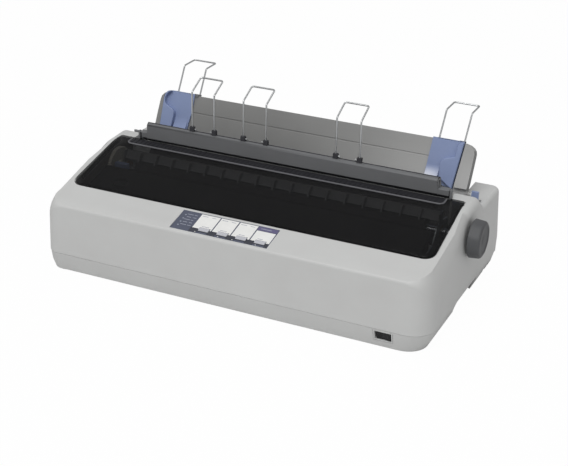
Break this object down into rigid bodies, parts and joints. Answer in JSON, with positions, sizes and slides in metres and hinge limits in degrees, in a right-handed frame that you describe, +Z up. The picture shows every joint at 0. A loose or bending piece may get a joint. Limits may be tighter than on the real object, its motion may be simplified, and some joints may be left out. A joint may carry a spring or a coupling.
{
  "type": "dot matrix printer",
  "caption": "Wide-carriage impact printer: low grey case, smoked hinged cover, folding sheet guide with wire supports, platen knob at the right and full print mechanism inside.",
  "frame": {"origin": "centre of the case in plan, on the surface that the feet stand on", "axes": "+Z up, -Y the front with the control panel, +X to the right where the platen knob is"},
  "size_m": [0.549, 0.3084, 0.2275],
  "materials": {
    "case_shell": "fine texture",
    "foot": "matt",
    "panel": "printed film",
    "light": "clear tint",
    "board": "solder mask",
    "switch": "gloss",
    "frame_steel": "zinc plated",
    "rod_steel": "polished",
    "wire": "polished",
    "screw": "zinc plated",
    "inner_black": "matt",
    "motor": "satin black",
    "belt": "matt",
    "connector": "matt",
    "cartridge": "fine texture",
    "bush": "self-lubricating",
    "smoke_cover": "smoked, semi-transparent",
    "tear_edge": "matt",
    "guide_dark": "fine texture",
    "guide_grey": "fine texture",
    "blue": "fine texture",
    "platen_rubber": "ground rubber",
    "gear": "moulded",
    "knob": "fine texture",
    "brass": "machined",
    "key": "moulded"
  },
  "bodies": {
    "case": {"lower_case": "case_shell", "rubber_feet": "foot", "upper_case": "case_shell", "operation_panel": "panel", "indicator_lights": "light", "panel_board": "board", "switch_housing": "switch", "main_board": "board", "power_supply": "board", "left_side_frame": "frame_steel", "right_side_frame": "frame_steel", "carriage_rod": "rod_steel", "front_rail": "frame_steel", "paper_chute": "inner_black", "exit_guide": "inner_black", "carriage_motor": "motor", "paper_feed_motor": "motor", "timing_belt": "belt", "interface_connector": "connector", "mains_inlet": "connector", "ribbon_cartridge": "cartridge", "shaft_bushes": "bush", "case_screws": "screw", "tractor_rod": "rod_steel"},
    "printer_cover": {"printer_cover": "smoke_cover", "tear_off_edge": "tear_edge"},
    "guide_cover": {"guide_cover": "guide_dark"},
    "loop_left": {"loop_left": "wire"},
    "loop_middle": {"loop_middle": "wire"},
    "loop_right": {"loop_right": "wire"},
    "sheet_guide": {"sheet_guide": "guide_grey"},
    "left_edge_guide": {"left_edge_guide": "blue"},
    "right_edge_guide": {"right_edge_guide": "blue"},
    "left_support_wire": {"left_support_wire": "wire"},
    "right_support_wire": {"right_support_wire": "wire"},
    "platen": {"platen": "platen_rubber", "platen_shaft": "rod_steel", "platen_gear": "gear", "feed_knob": "knob"},
    "reduction_gear": {"reduction_gear": "gear"},
    "motor_pinion": {"motor_pinion": "brass"},
    "tractor_shaft": {"tractor_shaft": "rod_steel"},
    "left_tractor": {"left_tractor": "inner_black"},
    "right_tractor": {"right_tractor": "inner_black"},
    "left_pin_wheel": {"left_pin_wheel": "gear"},
    "right_pin_wheel": {"right_pin_wheel": "gear"},
    "left_tractor_cover": {"left_tractor_cover": "inner_black"},
    "right_tractor_cover": {"right_tractor_cover": "inner_black"},
    "carriage": {"carriage": "inner_black", "print_head": "inner_black"},
    "motor_pulley": {"motor_pulley": "gear"},
    "idler_pulley": {"idler_pulley": "gear"},
    "ribbon_drive_knob": {"ribbon_drive_knob": "blue"},
    "release_lever": {"release_lever": "blue"},
    "thickness_lever": {"thickness_lever": "blue"},
    "power_rocker": {"power_rocker": "switch"},
    "button_1": {"button_1": "key"},
    "button_2": {"button_2": "key"},
    "button_3": {"button_3": "key"},
    "button_4": {"button_4": "key"}
  },
  "joints": [
    {"name": "cover_hinge", "type": "hinge", "parent": "case", "child": "printer_cover", "pos_m": [0, 0.0195, 0.13207], "axis": [1, 0, 0], "range_deg": [-60, 0]},
    {"name": "guide_cover_hinge", "type": "hinge", "parent": "case", "child": "guide_cover", "pos_m": [0, 0.0295, 0.14431], "axis": [1, 0, 0], "range_deg": [-20, 0]},
    {"name": "loop_left_hinge", "type": "hinge", "parent": "guide_cover", "child": "loop_left", "pos_m": [-0.1205, 0.0312, 0.16161], "axis": [1, 0, 0], "range_deg": [-20, 0]},
    {"name": "loop_middle_hinge", "type": "hinge", "parent": "guide_cover", "child": "loop_middle", "pos_m": [-0.0445, 0.0312, 0.16161], "axis": [1, 0, 0], "range_deg": [-20, 0]},
    {"name": "loop_right_hinge", "type": "hinge", "parent": "guide_cover", "child": "loop_right", "pos_m": [0.0875, 0.0312, 0.16161], "axis": [1, 0, 0], "range_deg": [-20, 0]},
    {"name": "sheet_guide_hinge", "type": "hinge", "parent": "case", "child": "sheet_guide", "pos_m": [0, 0.088, 0.1195], "axis": [1, 0, 0], "range_deg": [-64, 0]},
    {"name": "left_edge_guide_slide", "type": "slide", "parent": "sheet_guide", "child": "left_edge_guide", "axis": [1, 0, 0], "range_m": [0, 0.06]},
    {"name": "right_edge_guide_slide", "type": "slide", "parent": "sheet_guide", "child": "right_edge_guide", "axis": [1, 0, 0], "range_m": [-0.23, 0]},
    {"name": "left_wire_slide", "type": "slide", "parent": "left_edge_guide", "child": "left_support_wire", "axis": [0, 0.3567, 0.9342], "range_m": [-0.018, 0]},
    {"name": "right_wire_slide", "type": "slide", "parent": "right_edge_guide", "child": "right_support_wire", "axis": [0, 0.3567, 0.9342], "range_m": [-0.018, 0]},
    {"name": "platen_spin", "type": "hinge", "parent": "case", "child": "platen", "pos_m": [0, 0.006, 0.0986], "axis": [1, 0, 0], "continuous": true},
    {"name": "reduction_spin", "type": "hinge", "parent": "case", "child": "reduction_gear", "pos_m": [-0.2415, 0.04399, 0.0764], "axis": [1, 0, 0], "continuous": true},
    {"name": "pinion_spin", "type": "hinge", "parent": "case", "child": "motor_pinion", "pos_m": [-0.2415, 0.02955, 0.05723], "axis": [1, 0, 0], "continuous": true},
    {"name": "tractor_shaft_spin", "type": "hinge", "parent": "case", "child": "tractor_shaft", "pos_m": [0, 0.07205, 0.06], "axis": [1, 0, 0], "continuous": true},
    {"name": "left_tractor_slide", "type": "slide", "parent": "case", "child": "left_tractor", "axis": [1, 0, 0], "range_m": [-0.03, 0.1]},
    {"name": "right_tractor_slide", "type": "slide", "parent": "case", "child": "right_tractor", "axis": [1, 0, 0], "range_m": [-0.1, 0.03]},
    {"name": "left_pin_wheel_spin", "type": "hinge", "parent": "left_tractor", "child": "left_pin_wheel", "pos_m": [-0.15, 0.07205, 0.06], "axis": [1, 0, 0], "continuous": true},
    {"name": "right_pin_wheel_spin", "type": "hinge", "parent": "right_tractor", "child": "right_pin_wheel", "pos_m": [0.15, 0.07205, 0.06], "axis": [1, 0, 0], "continuous": true},
    {"name": "left_tractor_cover_hinge", "type": "hinge", "parent": "left_tractor", "child": "left_tractor_cover", "pos_m": [-0.161, 0.07205, 0.0775], "axis": [0, 1, 0], "range_deg": [-75, 0]},
    {"name": "right_tractor_cover_hinge", "type": "hinge", "parent": "right_tractor", "child": "right_tractor_cover", "pos_m": [0.161, 0.07205, 0.0775], "axis": [0, 1, 0], "range_deg": [0, 75]},
    {"name": "carriage_slide", "type": "slide", "parent": "case", "child": "carriage", "axis": [1, 0, 0], "range_m": [-0.02, 0.32]},
    {"name": "motor_pulley_spin", "type": "hinge", "parent": "case", "child": "motor_pulley", "pos_m": [-0.2, -0.06, 0.0536], "axis": [0, 0, 1], "range_deg": [-2200, 200]},
    {"name": "idler_pulley_spin", "type": "hinge", "parent": "case", "child": "idler_pulley", "pos_m": [0.2, -0.06, 0.0536], "axis": [0, 0, 1], "range_deg": [-2200, 200]},
    {"name": "ribbon_knob_spin", "type": "hinge", "parent": "case", "child": "ribbon_drive_knob", "pos_m": [-0.19, -0.069, 0.103], "axis": [0, 0, 1], "continuous": true},
    {"name": "release_lever_hinge", "type": "hinge", "parent": "case", "child": "release_lever", "pos_m": [0.247, 0.07, 0.078], "axis": [1, 0, 0], "range_deg": [-6, 8]},
    {"name": "thickness_lever_hinge", "type": "hinge", "parent": "case", "child": "thickness_lever", "pos_m": [-0.22, -0.042, 0.0716], "axis": [1, 0, 0], "range_deg": [-6, 9]},
    {"name": "power_rocker_hinge", "type": "hinge", "parent": "case", "child": "power_rocker", "pos_m": [0.208, -0.129, 0.0176], "axis": [0, 0, 1], "range_deg": [-14, 0]},
    {"name": "button_1_press", "type": "slide", "parent": "case", "child": "button_1", "axis": [0, -0.2317, 0.9728], "range_m": [-0.0008, 0], "stiffness_N_per_m": 250},
    {"name": "button_2_press", "type": "slide", "parent": "case", "child": "button_2", "axis": [0, -0.2317, 0.9728], "range_m": [-0.0008, 0], "stiffness_N_per_m": 250},
    {"name": "button_3_press", "type": "slide", "parent": "case", "child": "button_3", "axis": [0, -0.2317, 0.9728], "range_m": [-0.0008, 0], "stiffness_N_per_m": 250},
    {"name": "button_4_press", "type": "slide", "parent": "case", "child": "button_4", "axis": [0, -0.2317, 0.9728], "range_m": [-0.0008, 0], "stiffness_N_per_m": 250}
  ],
  "couplings": [
    {"joint": "reduction_spin", "follows": "platen_spin", "ratio": -1.4444},
    {"joint": "pinion_spin", "follows": "platen_spin", "ratio": 4.3333},
    {"joint": "tractor_shaft_spin", "follows": "platen_spin", "ratio": 1.7931},
    {"joint": "left_pin_wheel_spin", "follows": "platen_spin", "ratio": 1.7931},
    {"joint": "right_pin_wheel_spin", "follows": "platen_spin", "ratio": 1.7931},
    {"joint": "motor_pulley_spin", "follows": "carriage_slide", "rad_per_m": -116.28},
    {"joint": "idler_pulley_spin", "follows": "carriage_slide", "rad_per_m": -116.28}
  ]
}
